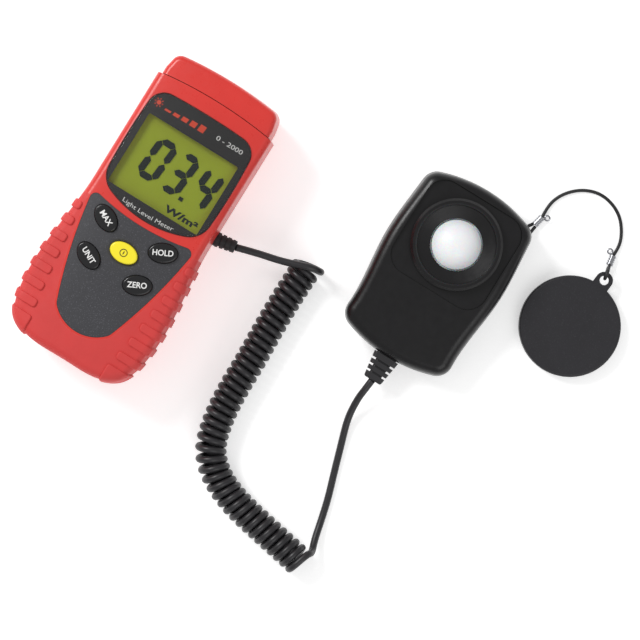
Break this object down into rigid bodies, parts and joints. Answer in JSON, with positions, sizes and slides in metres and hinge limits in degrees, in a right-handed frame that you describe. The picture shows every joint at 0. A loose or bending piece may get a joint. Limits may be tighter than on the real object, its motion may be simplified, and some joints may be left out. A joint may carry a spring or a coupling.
{
  "type": "hand-held light meter",
  "caption": "Hand-held light meter with a backlit display and keypad, a curly cord to a flat sensor head with a domed diffuser, and a round sensor cap on a tether.",
  "frame": {"origin": "middle of the meter housing's flat back, on the plane that everything lies on", "axes": "+Z out of the display, +Y towards the housing's top end, +X across the housing towards the sensor head"},
  "size_m": [0.2231, 0.2014, 0.038],
  "materials": {
    "red_plastic": "semi-gloss",
    "red_rubber": "matte, fine grain",
    "clear_lens": "clear acrylic, polished",
    "printed_mask": "printed ink, satin",
    "display_glass": "yellow-green liquid crystal glass",
    "light_guide": "translucent white",
    "black_plastic": "satin",
    "keypad_film": "speckled film",
    "key_black": "semi-gloss",
    "key_yellow": "semi-gloss",
    "silicone": "matte",
    "gold_pads": "plated",
    "circuit_board": "solder mask over glass-fibre laminate",
    "chip_black": "moulded epoxy",
    "capacitor_can": "satin",
    "white_plastic": "satin",
    "battery_can": "printed sleeve",
    "wire_red_black": "insulated wire",
    "steel": "zinc plated",
    "cord_rubber": "satin jacket",
    "strain_relief_rubber": "matte",
    "head_plastic": "satin",
    "diffuser": "opal",
    "seal_rubber": "matte",
    "photodiode_case": "metal can with a window",
    "filter_glass": "absorbing glass",
    "cap_plastic": "fine grain",
    "tether_cord": "braided cord",
    "crimp_steel": "polished"
  },
  "bodies": {
    "meter": {"front_case": "red_plastic", "front_grip": "red_rubber", "rear_case": "red_plastic", "rear_grip": "red_rubber", "top_cap": "red_plastic", "display_lens": "clear_lens", "display_mask": "printed_mask", "lcd_panel": "display_glass", "lcd_backlight": "light_guide", "lcd_frame": "black_plastic", "keypad_panel": "keypad_film", "keypad_mat": "silicone", "contact_pads": "gold_pads", "main_board": "circuit_board", "board_chips": "chip_black", "board_capacitors": "capacitor_can", "cord_header": "white_plastic", "battery": "battery_can", "battery_snap": "black_plastic", "battery_leads": "wire_red_black", "case_screws": "steel", "cord_lead_meter": "cord_rubber", "cord_coil": "cord_rubber", "cord_lead_head": "cord_rubber", "meter_strain_relief": "strain_relief_rubber", "cord_cores": "wire_red_black"},
    "battery_door": {"battery_door": "red_plastic"},
    "button_upper_left": {"button_upper_left": "key_black"},
    "button_upper_right": {"button_upper_right": "key_black"},
    "button_lower_left": {"button_lower_left": "key_black"},
    "button_lower_right": {"button_lower_right": "key_black"},
    "button_power": {"button_power": "key_yellow"},
    "sensor_head": {"head_strain_relief": "strain_relief_rubber", "head_front_case": "head_plastic", "head_rear_case": "head_plastic", "sensor_bezel": "head_plastic", "diffuser_dome": "diffuser", "dome_seal": "seal_rubber", "sensor_board": "circuit_board", "photodiode": "photodiode_case", "filter_glass": "filter_glass", "filter_holder": "black_plastic", "head_screws": "steel", "head_cores": "wire_red_black", "tether_cord": "tether_cord", "crimp_head": "crimp_steel", "crimp_cap": "crimp_steel", "tether_head_loop": "tether_cord", "tether_cap_loop": "tether_cord"},
    "sensor_cap": {"sensor_cap": "cap_plastic"}
  },
  "joints": [
    {"name": "button_upper_left_press", "type": "slide", "parent": "meter", "child": "button_upper_left", "axis": [0, 0, -1], "range_m": [0, 0.0008], "stiffness_N_per_m": 600},
    {"name": "button_upper_right_press", "type": "slide", "parent": "meter", "child": "button_upper_right", "axis": [0, 0, -1], "range_m": [0, 0.0008], "stiffness_N_per_m": 600},
    {"name": "button_lower_left_press", "type": "slide", "parent": "meter", "child": "button_lower_left", "axis": [0, 0, -1], "range_m": [0, 0.0008], "stiffness_N_per_m": 600},
    {"name": "button_lower_right_press", "type": "slide", "parent": "meter", "child": "button_lower_right", "axis": [0, 0, -1], "range_m": [0, 0.0008], "stiffness_N_per_m": 600},
    {"name": "button_power_press", "type": "slide", "parent": "meter", "child": "button_power", "axis": [0, 0, -1], "range_m": [0, 0.0008], "stiffness_N_per_m": 600},
    {"name": "battery_door_slide", "type": "slide", "parent": "meter", "child": "battery_door", "axis": [0, -1, 0], "range_m": [0, 0.06]},
    {"name": "sensor_head_swing", "type": "hinge", "parent": "meter", "child": "sensor_head", "pos_m": [0.1127, -0.0074, 0.009], "axis": [0, 0, 1], "range_deg": [-25, 15]},
    {"name": "sensor_cap_swing", "type": "hinge", "parent": "sensor_head", "child": "sensor_cap", "pos_m": [0.1724, 0.0786, 0.0057], "axis": [0, 0, 1], "range_deg": [-15, 45]}
  ]
}
